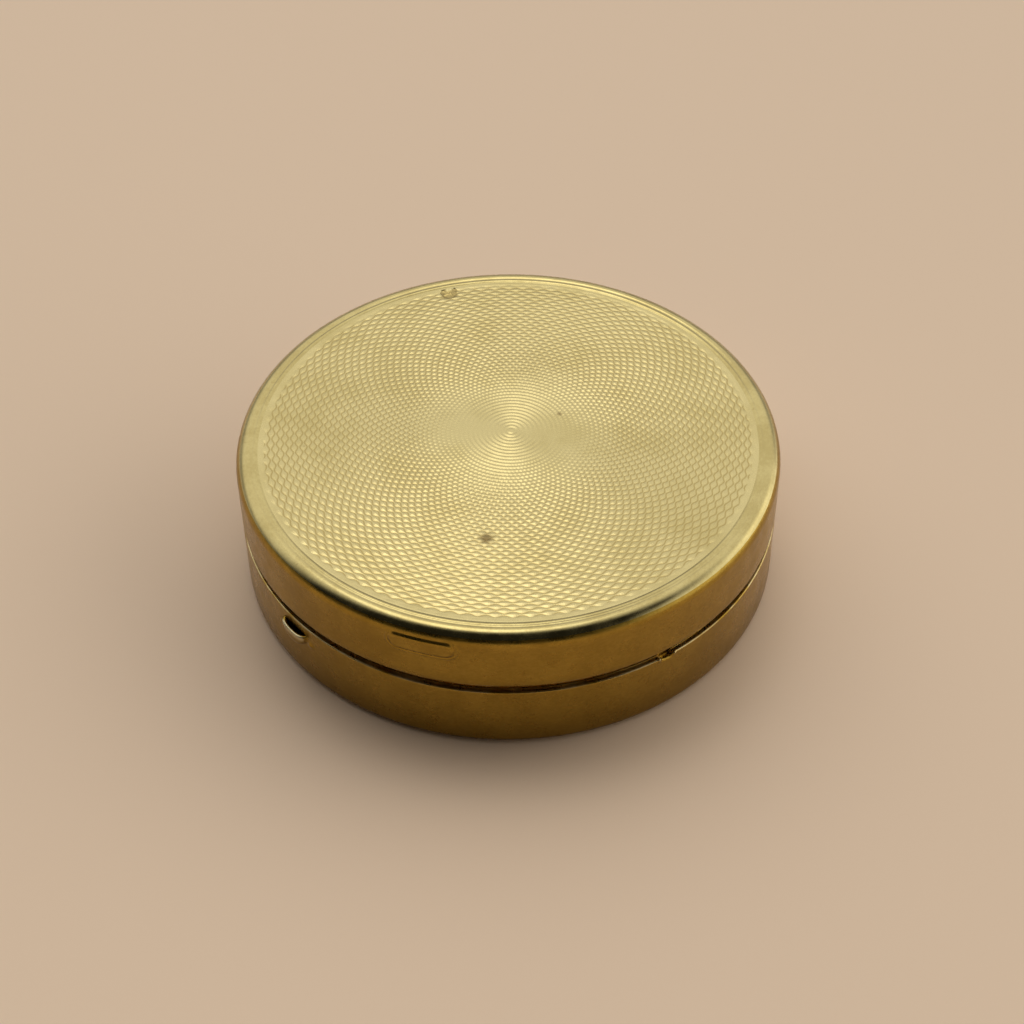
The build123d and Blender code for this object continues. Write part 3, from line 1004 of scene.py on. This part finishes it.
@dataclass
class BaseShell(TurnedPiece):
    """The base's drawn cup, with the lanced thumb lip and the nick in its edge."""

    outline: Outline = field(default_factory=list)
    angles: np.ndarray = field(default_factory=lambda: np.zeros(0))
    radius: float = 25 * MM
    top: float = 6.8 * MM
    wall: float = 0.6 * MM
    floor: float = 0.7 * MM
    foot_round: float = 0.8 * MM
    lip_round: float = 0.13 * MM
    lip_bearing: float = math.radians(220.2)
    lip_mouth: float = 5.8 * MM
    lip_middle: float = 5.75 * MM
    lip_half: float = 1.7 * MM
    lip_rise: float = 0.58 * MM
    lip_drop: float = 0.12 * MM
    lip_thinning: float = 0.30 * MM
    ear_bearing: float = math.radians(-135.0)
    ear_height: float = 5.0 * MM
    nick_bearing: float = math.radians(-57)
    nick_half: float = 0.7 * MM
    nick_depth: float = 0.3 * MM
    outer_slit_row: int = 0
    inner_slit_row: int = 0

    def plan(self) -> None:
        """Works out the outline, the angles and the two rows that the mouth's slit follows."""
        radius, inner = self.radius, self.radius - self.wall
        foot, edge = self.foot_round, self.lip_round
        outline: Outline = [(0, 0), (radius * 0.4, 0), (radius * 0.8, 0)]
        outline += sweep_arc((radius - foot, foot), foot, foot, -90, 0, 12)
        outline += step_line(outline[-1], (radius, 3.5 * MM), 0.6 * MM)
        outline += step_line(outline[-1], (radius, self.lip_mouth), 0.1 * MM)
        self.outer_slit_row = len(outline) - 1
        outline += step_line(outline[-1], (radius, self.top - edge), 0.1 * MM)
        outline += sweep_arc((radius - edge, self.top - edge), edge, edge, 0, 90, 4)[1:]
        outline += sweep_arc((inner + edge, self.top - edge), edge, edge, 90, 180, 4)
        outline += step_line(outline[-1], (inner, self.lip_mouth), 0.1 * MM)
        self.inner_slit_row = len(outline) - 1
        outline += step_line(outline[-1], (inner, 3.5 * MM), 0.1 * MM)
        outline += step_line(outline[-1], (inner, self.floor + 0.4 * MM), 0.6 * MM)
        outline += sweep_arc((inner - 0.4 * MM, self.floor + 0.4 * MM), 0.4 * MM, 0.4 * MM, 0, -90, 4)[1:]
        outline += [(inner * 0.5, self.floor), (0, self.floor)]
        self.outline = outline
        lip_span = (self.lip_half + 0.9 * MM) / radius
        nick_span = (self.nick_half + 0.4 * MM) / radius
        windows = [(self.lip_bearing, lip_span, 56), (self.nick_bearing % TURN, nick_span, 28)]
        self.angles = spread_angles(300, windows)

    def along(self, angle: np.ndarray, bearing: float) -> np.ndarray:
        """How far along the wall each angle is from a bearing."""
        return ((angle - bearing + HALF_TURN) % TURN - HALF_TURN) * self.radius

    def press(self, angle: np.ndarray, distance: np.ndarray, height: np.ndarray) -> Rows:
        """Presses the thumb lip out of the wall below its slit.

        Args:
            angle: the angle of each point.
            distance: the distance of each from the axis.
            height: the height of each.

        Returns:
            The pressed distances and heights.
        """
        along = self.along(angle, self.lip_bearing)
        spread = (along**2 + (height - self.lip_middle) ** 2) / self.lip_half**2
        share = np.clip(1 - spread, 0, 1)
        dome = np.sqrt(share * (2 - share))
        inward = distance < self.radius - self.wall / 2
        near_mouth = np.clip(1 - (self.lip_mouth - height) / (1.6 * self.lip_half), 0, 1)
        out = self.lip_rise * dome + np.where(inward, self.lip_thinning * share, 0)
        return distance + out, height - self.lip_drop * share * near_mouth**1.5

    def relief(self, angle: np.ndarray, distance: np.ndarray, height: np.ndarray, row: int) -> Rows:
        """Presses the lip, except above its slit, and dents the top edge at the nick."""
        if distance[0] < self.radius - self.wall - 0.01 * MM or height[0] < 3.4 * MM:
            return distance, height
        if distance[0] > self.radius - 0.01 * MM:
            ear = np.hypot(self.along(angle, self.ear_bearing), height - self.ear_height)
            distance = distance + 0.14 * MM * np.exp(-((ear / (0.28 * MM)) ** 2))
        if height[0] < self.lip_mouth - 1e-7:
            return self.press(angle, distance, height)
        along = self.along(angle, self.nick_bearing) / self.nick_half
        near_top = np.clip((height - (self.top - 0.5 * MM)) / (0.5 * MM), 0, 1)
        dip = np.clip(1 - along**4, 0, 1)
        corner = np.exp(-(((np.abs(along) - 1.15) / 0.22) ** 2))
        height = height - near_top * self.nick_depth * dip
        outward = np.where(distance > self.radius - self.wall / 2, 1, 0)
        return distance + near_top * outward * (0.12 * MM * corner - 0.10 * MM * dip), height

    def surface(self) -> tuple[list[Point], Faces, list[int]]:
        """Sweeps the outline, then opens the slit above the lip.

        Returns:
            The points, the faces, and the outline row that each face starts at.
        """
        points, faces, rows = super().surface()
        count = len(self.angles)
        reach = math.sqrt(self.lip_half**2 - (self.lip_mouth - self.lip_middle) ** 2)
        beside = np.abs(self.along(self.angles, self.lip_bearing))
        inside = [int(column) for column in np.nonzero(beside < reach)[0]]
        twins: dict[int, int] = {}
        for row in (self.outer_slit_row, self.inner_slit_row):
            for column in inside:
                old = 1 + (row - 1) * count + column
                angle = self.angles[column : column + 1]
                start = (np.array([self.outline[row][0]]), np.array([self.outline[row][1]]))
                distance, height = self.press(angle, *start)
                twins[old] = len(points)
                points.append((
                    float(distance[0] * np.cos(angle[0])),
                    float(distance[0] * np.sin(angle[0])),
                    float(height[0]),
                ))
        below = {self.outer_slit_row - 1, self.inner_slit_row}
        faces = [
            tuple(twins.get(corner, corner) for corner in face) if row in below else face
            for face, row in zip(faces, rows)
        ]
        outer_start = 1 + (self.outer_slit_row - 1) * count
        inner_start = 1 + (self.inner_slit_row - 1) * count
        for column in range(inside[0] - 1, inside[-1] + 1):
            outer, inner = outer_start + column, inner_start + column
            above = (outer, outer + 1, inner + 1, inner)
            faces.append(above)
            faces.append(tuple(twins.get(corner, corner) for corner in reversed(above)))
            rows += [self.outer_slit_row, self.outer_slit_row]
        return points, faces, rows


# --------------------------------------------------------------------------- soft pieces


@dataclass
class RoundSlab:
    """A closed round slab whose top carries relief."""

    radius: float
    low: float
    top: float
    rings: int = 60
    columns: int = 180
    edge: float = 0.15 * MM

    def relief(self, x: np.ndarray, y: np.ndarray) -> np.ndarray:
        """How far the top is below its highest level; a plain slab's isn't."""
        return np.zeros_like(x)

    def surface(self) -> tuple[list[np.ndarray], Faces]:
        """Builds the slab.

        Returns:
            The points and the faces.
        """
        angles = np.arange(self.columns) * TURN / self.columns
        rows = []
        for ring in range(self.rings + 1):
            count = 1 if ring == 0 else self.columns
            distance = (self.radius - self.edge) * ring / self.rings
            x, y = distance * np.cos(angles[:count]), distance * np.sin(angles[:count])
            rows.append(np.stack([x, y, self.top - self.relief(x, y)], axis=1))
        side = np.stack([self.radius * np.cos(angles), self.radius * np.sin(angles)], axis=1)
        for height in (rows[-1][:, 2] - self.edge, np.full(self.columns, self.low)):
            rows.append(np.column_stack([side, height]))
        rows.append(np.array([[0.0, 0.0, self.low]]))
        return join_rows(rows)


@dataclass
class PressedPowder(RoundSlab):
    """The powder cake, pressed with a lattice and worn hollow where the puff has rubbed it."""

    rings: int = 110
    columns: int = 360
    lattice: float = 3.0 * MM
    line: float = 0.22 * MM
    line_depth: float = 0.14 * MM
    hollow: tuple[float, float] = (3.0 * MM, -4.0 * MM)
    hollow_size: float = 7.5 * MM
    hollow_depth: float = 0.35 * MM

    def relief(self, x: np.ndarray, y: np.ndarray) -> np.ndarray:
        """The pressed lines, filled in where the powder is worn."""
        worn = np.exp(-(((x - self.hollow[0]) ** 2 + (y - self.hollow[1]) ** 2) / self.hollow_size**2))
        pressed = np.zeros_like(x)
        for across in (x + y, x - y):
            offset = np.abs((across / math.sqrt(2) / self.lattice + 0.5) % 1 - 0.5) * self.lattice
            pressed = np.maximum(pressed, np.exp(-((offset / self.line) ** 2)))
        return self.hollow_depth * worn + self.line_depth * pressed * np.clip(1 - 1.3 * worn, 0, 1)


@dataclass
class SatinBack(RoundSlab):
    """The puff's satin back, drawn in to small pleats where it is sewn to the pad."""

    rings: int = 46
    columns: int = 512
    pleats: int = 64
    pleat_depth: float = 0.14 * MM
    crown: float = 0.16 * MM

    def relief(self, x: np.ndarray, y: np.ndarray) -> np.ndarray:
        """The crown and the pleats."""
        share = np.hypot(x, y) / self.radius
        turn = np.arctan2(y, x)
        near_edge = np.clip((share - 0.72) / 0.28, 0, 1) ** 1.5
        fold = 0.5 + 0.5 * np.cos(self.pleats * turn + 0.9 * np.sin(5 * turn) + 0.6 * np.sin(11 * turn + 1))
        return self.crown * share**4 + self.pleat_depth * near_edge * fold


@dataclass
class Puff:
    """The powder puff: a velour pad, its satin back and the ribbon that it is held by."""

    enlarge: float = 20.0
    pressure: float = 3.0
    frames: int = 16
    cap: float = 0.7 * MM
    tuft: float = 0.07 * MM
    fill: float = 0.55
    columns: int = 160
    face_rings: int = 26
    ribbon_bearing: float = math.radians(39.5)
    ribbon_half_width: float = 3.0 * MM
    ribbon_spans: int = 240
    rib: float = 0.42 * MM
    rib_depth: float = 0.05 * MM

    def build(self) -> None:
        """Builds the three pieces."""
        pad = self.pad()
        low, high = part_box("puff_backing")
        points, faces = SatinBack(high.x, low.z, high.z).surface()
        satin = [PUFF_SATIN.make()]
        back = add_piece("puff_satin_back", points, faces, Body.BASE, satin, ["puff_backing"])
        self.ribbon()

    def pad(self) -> bpy.types.Object:
        """Builds the velour pad, swells it by cloth simulation and gives it its pile.

        Returns:
            The pad.
        """
        low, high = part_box("puff_pad")
        points, faces = self.pad_form(high.x - 0.5 * MM, low.z + 0.25 * MM, high.z - 0.2 * MM)
        form = np.array(points)
        form = self.swell(form, faces)
        centre = (low.z + high.z) / 2
        rng = np.random.default_rng(7)
        outward = form - np.array([0, 0, centre])
        outward /= np.maximum(np.linalg.norm(outward, axis=1, keepdims=True), 1e-9)
        form += outward * self.tuft * rng.uniform(-1, 1, (len(form), 1))
        reach = np.hypot(form[:, 0], form[:, 1])
        form[:, :2] *= np.minimum(1, high.x / np.maximum(reach, 1e-9))[:, None]
        form[:, 2] = np.clip(form[:, 2], low.z, high.z)
        velour = [PUFF_VELOUR.make()]
        piece = add_piece("puff_velour_pad", list(form), faces, Body.BASE, velour, ["puff_pad"])
        return piece

    def pad_form(self, radius: float, low: float, high: float) -> tuple[list[np.ndarray], Faces]:
        """The flat pad before it swells: a closed disc with a round side.

        Args:
            radius: its radius.
            low: its underside.
            high: its top.

        Returns:
            The points and the faces.
        """
        half, middle = (high - low) / 2, (high + low) / 2
        angles = np.arange(self.columns) * TURN / self.columns
        path = [(share * (radius - half), high) for share in np.linspace(0, 1, self.face_rings)]
        path += sweep_arc((radius - half, middle), half, half, 90, -90, 10)[1:-1]
        path += [(share * (radius - half), low) for share in np.linspace(1, 0, self.face_rings)]
        rows = []
        for distance, height in path:
            count = 1 if distance < 1e-9 else len(angles)
            turn = angles[:count]
            x, y = distance * np.cos(turn), distance * np.sin(turn)
            rows.append(np.stack([x, y, np.full(count, height)], axis=1))
        return join_rows(rows)

    def swell(self, form: np.ndarray, faces: Sequence[Sequence[int]]) -> np.ndarray:
        """Swells the pad by cloth simulation, done large and brought back to size.

        Args:
            form: the pad's points.
            faces: its faces.

        Returns:
            The swollen points.
        """
        mesh = bpy.data.meshes.new("swelling")
        large = [tuple(map(float, point)) for point in form * self.enlarge]
        mesh.from_pydata(large, [], [tuple(face) for face in faces])
        swelling = bpy.data.objects.new("swelling", mesh)
        scene = bpy.context.scene
        scene.collection.objects.link(swelling)
        held = swelling.vertex_groups.new(name="sewn")
        middle = (form[:, 2].max() + form[:, 2].min()) / 2
        reach = np.hypot(form[:, 0], form[:, 1])
        seam = np.nonzero((np.abs(form[:, 2] - middle) < 0.05 * MM) & (reach > 0.9 * reach.max()))[0]
        held.add([int(place) for place in seam], 1.0, "REPLACE")
        cloth = swelling.modifiers.new("cloth", "CLOTH")
        cloth.settings.quality = 6
        cloth.settings.mass = 0.2
        cloth.settings.tension_stiffness = 20
        cloth.settings.compression_stiffness = 20
        cloth.settings.bending_stiffness = 0.6
        cloth.settings.use_pressure = True
        cloth.settings.uniform_pressure_force = self.pressure
        cloth.settings.vertex_group_mass = "sewn"
        cloth.settings.effector_weights.gravity = 0
        for frame_number in range(1, self.frames + 1):
            scene.frame_set(frame_number)
        shaped = swelling.evaluated_get(bpy.context.evaluated_depsgraph_get()).to_mesh()
        swollen = np.empty(len(form) * 3)
        shaped.vertices.foreach_get("co", swollen)
        scene.frame_set(1)
        bpy.data.objects.remove(swelling)
        moved = swollen.reshape(-1, 3) / self.enlarge - form
        length = np.maximum(np.linalg.norm(moved, axis=1, keepdims=True), 1e-12)
        log.info("the puff swells by up to %.2f mm", 1000 * float(length.max()))
        return form + moved * np.minimum(1, self.cap / length)

    def ribbon(self) -> None:
        """Builds the ribbed ribbon that bows over the puff's back."""
        low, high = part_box("puff_ribbon")
        turn, half_width, count = self.ribbon_bearing, self.ribbon_half_width, self.ribbon_spans
        half_length = (high.x - half_width * math.sin(turn)) / math.cos(turn)
        along = np.linspace(-half_length, half_length, count + 1)
        across = np.linspace(-half_width, half_width, 13)
        bow = (high.z - low.z - 0.25 * MM) * (1 - (along / half_length) ** 2)
        ribs = self.rib_depth * (0.5 + 0.5 * np.cos(TURN * along / self.rib))
        loops = []
        for place, lift, rib in zip(along, bow, ribs):
            roll = 0.05 * MM * np.cos(np.pi * across / (2 * half_width)) ** 0.5
            above = low.z + lift + 0.20 * MM + roll - rib
            below = np.full(len(across), low.z + lift)
            loop = np.concatenate([
                np.column_stack([np.full(len(across), place), across, above]),
                np.column_stack([np.full(len(across), place), across[::-1], below]),
            ])
            loops.append(loop)
        size = len(loops[0])
        faces = [tuple(range(size)), tuple(range(count * size, (count + 1) * size))]
        for step in range(count):
            near, far = step * size, (step + 1) * size
            for corner in range(size):
                after = (corner + 1) % size
                faces.append((near + corner, near + after, far + after, far + corner))
        points = np.concatenate(loops)
        x, y = points[:, 0].copy(), points[:, 1].copy()
        points[:, 0] = x * math.cos(turn) - y * math.sin(turn)
        points[:, 1] = x * math.sin(turn) + y * math.cos(turn)
        weave = [RIBBON_GROSGRAIN.make()]
        add_piece("puff_ribbon_band", list(points), faces, Body.BASE, weave, ["puff_ribbon"])


# --------------------------------------------------------------------------- whole compact


class Lid:
    """The lid with its engine-turned face, shell, mirror and hinge leaf."""

    def __init__(self) -> None:
        """Takes the lid's place and size from the frame."""
        low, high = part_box("lid_shell")
        self.turning = EngineTurning()
        self.shell = LidShell(radius=high.x, low=low.z, top=high.z)

    def build(self) -> None:
        """Builds and dresses every piece of the lid."""
        shell = self.shell
        wall = WALL_GILT.make(shell.radius, [(shell.low + 0.2 * MM, shell.low)])
        rim = RIM_GILT.make(shell.radius)
        inner = INNER_GILT.make(shell.radius)
        shell.plan(self.turning)
        points, faces, rows = shell.surface()
        piece = add_piece("lid_cup", points, faces, Body.LID, [wall, rim, inner], ["lid_shell"])
        wall_rows = [row for row, place in enumerate(shell.outline) if place[0] > shell.radius - 1e-7]
        for polygon, row in zip(piece.data.polygons, rows):
            if row < wall_rows[0] - shell.roll_rows_like_wall:
                polygon.material_index = 1
            elif row >= wall_rows[-1] + shell.lip_rows:
                polygon.material_index = 2
        turned = EngineTurnedGilt().make(shell.face, self.turning.deepest)
        points, faces = self.turning.surface(shell.face)
        add_piece("lid_engine_turned_face", points, faces, Body.LID, [turned], smooth=False)
        dress("mirror_bezel", inner, 0.06 * MM)
        dress("mirror_glass", SilveredGlass().make(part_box("mirror_glass")[1].x))
        dress("mirror_backing", BACKING_CARD.make())
        dress("lid_hinge_leaf", HINGE_BRASS.make(shell.radius + 2 * MM), 0.05 * MM)


class Base:
    """The base with its shell, collar, springs and the standing half of the hinge."""

    def __init__(self) -> None:
        """Takes the base's place and size from the frame."""
        _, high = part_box("base_shell")
        self.shell = BaseShell(radius=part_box("lid_shell")[1].x, top=high.z)

    def build(self) -> None:
        """Builds and dresses every piece of the base."""
        shell = self.shell
        wall = WALL_GILT.make(shell.radius, [(shell.top - 0.15 * MM, shell.top - 0.02 * MM)])
        shell.plan()
        points, faces, _ = shell.surface()
        add_piece("base_cup", points, faces, Body.BASE, [wall], ["base_shell"])
        brass = HINGE_BRASS.make(shell.radius + 2 * MM)
        bronze = SPRING_BRONZE.make(shell.radius)
        dress("base_collar", INNER_GILT.make(shell.radius), 0.04 * MM)
        dress("snap_spring_left", bronze)
        dress("snap_spring_right", bronze)
        dress("spring_rivets", brass)
        dress("base_hinge_leaf", brass, 0.05 * MM)
        dress("hinge_pin", DRAWN_STEEL.make(shell.radius + 4 * MM), 0.05 * MM)


class PowderWell:
    """The pan with its cake, the ring round it, and the hinged inner cover."""

    def build(self) -> None:
        """Builds and dresses every piece of the well."""
        low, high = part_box("powder_cake")
        points, faces = PressedPowder(high.x, low.z, high.z).surface()
        powder = PRESSED_POWDER.make()
        add_piece("pressed_powder_cake", points, faces, Body.BASE, [powder], ["powder_cake"])
        inner = INNER_GILT.make(high.x + 5 * MM)
        brass = HINGE_BRASS.make(high.x + 5 * MM)
        dress("powder_pan", PAN_TIN.make(high.x + 5 * MM), 0.04 * MM)
        dress("pan_ring", inner, 0.05 * MM)
        dress("inner_cover", inner, 0.04 * MM)
        dress("cover_tab", inner, 0.08 * MM)
        dress("cover_bracket", brass, 0.03 * MM)
        dress("cover_pin", DRAWN_STEEL.make(high.x + 5 * MM))


@dataclass
class Studio:
    """The floor, the lights and the camera."""

    lens: float = 71.03
    distance: float = 195.15 * MM
    elevation: float = math.radians(44.52)
    roll: float = math.radians(-0.66)
    aside: float = -0.25 * MM
    above: float = -2.79 * MM
    floor_colour: Colour = (0.98, 0.74, 0.53)
    lamp_way: Point = (-0.1, 0.375, 0.927)
    lamp_edges: tuple[float, float] = (17.0, 3.0)
    lamp_glow: float = 1.5
    front_glow: float = 0.02
    back_glow: float = 1.14
    horizon_glow: float = 0.25
    side_glow: float = 1.3
    low_share: float = 0.35

    def camera(self) -> None:
        """Places the camera."""
        data = bpy.data.cameras.new("camera")
        data.lens = self.lens
        data.clip_start, data.clip_end = 0.005, 20
        camera = bpy.data.objects.new("camera", data)
        bpy.context.scene.collection.objects.link(camera)
        back = Vector((0, -math.cos(self.elevation), math.sin(self.elevation)))
        level = Vector((1, 0, 0))
        rise = Vector((0, math.sin(self.elevation), math.cos(self.elevation)))
        right = math.cos(self.roll) * level + math.sin(self.roll) * rise
        up = -math.sin(self.roll) * level + math.cos(self.roll) * rise
        turn = Matrix((right, up, back)).transposed()
        place = self.distance * back - self.aside * right - self.above * up
        camera.matrix_world = Matrix.Translation(place) @ turn.to_4x4()
        bpy.context.scene.camera = camera

    def floor(self) -> None:
        """Lays the plain pale floor."""
        half = 3.0
        mesh = bpy.data.meshes.new("floor")
        corners = [(-half, -half, 0), (half, -half, 0), (half, half, 0), (-half, half, 0)]
        mesh.from_pydata(corners, [], [(0, 1, 2, 3)])
        floor = bpy.data.objects.new("floor", mesh)
        bpy.context.scene.collection.objects.link(floor)
        graph = Graph("pale_floor")
        graph.set("Base Color", self.floor_colour)
        graph.set("Roughness", 0.6)
        mesh.materials.append(graph.material)

    def sky(self) -> None:
        """Fills the studio with soft light, brightest behind and above, and dim towards the front."""
        world = bpy.data.worlds.new("studio")
        bpy.context.scene.world = world
        world.use_nodes = True
        tree = world.node_tree

        def ramp(value: Socket, low: float, high: float, to_low: float, to_high: float) -> Socket:
            """Maps one range onto another smoothly."""
            node = tree.nodes.new("ShaderNodeMapRange")
            node.interpolation_type = "SMOOTHSTEP"
            tree.links.new(value, node.inputs[0])
            for target, given in zip(node.inputs[1:5], (low, high, to_low, to_high)):
                target.default_value = given
            return node.outputs[0]

        def join(operation: str, first: Socket, second: Socket) -> Socket:
            """Adds or multiplies two numbers."""
            node = tree.nodes.new("ShaderNodeMath")
            node.operation = operation
            tree.links.new(first, node.inputs[0])
            tree.links.new(second, node.inputs[1])
            return node.outputs[0]

        place = tree.nodes.new("ShaderNodeTexCoord").outputs["Generated"]
        apart = tree.nodes.new("ShaderNodeSeparateXYZ")
        tree.links.new(place, apart.inputs[0])
        towards = tree.nodes.new("ShaderNodeVectorMath")
        towards.operation = "DOT_PRODUCT"
        towards.inputs[1].default_value = Vector(self.lamp_way).normalized()
        tree.links.new(place, towards.inputs[0])
        wide, near = (math.cos(math.radians(angle)) for angle in self.lamp_edges)
        lamp = ramp(towards.outputs["Value"], wide, near, 0.0, self.lamp_glow)
        room = ramp(apart.outputs["Y"], -0.2, 0.45, self.front_glow, self.back_glow)
        horizon = ramp(apart.outputs["Z"], 0.0, 0.2, self.horizon_glow, 0.0)
        side = ramp(apart.outputs["X"], 0.55, 0.95, 0.0, self.side_glow)
        high = ramp(apart.outputs["Z"], 0.18, 0.5, self.low_share, 1.0)
        room = join("MULTIPLY", room, high)
        background = tree.nodes["Background"]
        background.inputs["Color"].default_value = (1.0, 0.98, 0.94, 1.0)
        glow = join("ADD", join("ADD", lamp, room), join("ADD", horizon, side))
        tree.links.new(glow, background.inputs["Strength"])

    def build(self) -> None:
        """Sets up the whole studio."""
        self.camera()
        self.floor()
        self.sky()
        bpy.context.scene.view_settings.view_transform = "Standard"


def main() -> None:
    """Builds the compact and the studio."""
    logging.basicConfig(level=logging.INFO, format="%(name)s %(message)s")
    for part in (Studio(), Base(), PowderWell(), Puff(), Lid()):
        log.info("building %s", type(part).__name__)
        part.build()


if __name__ == "__main__":
    main()
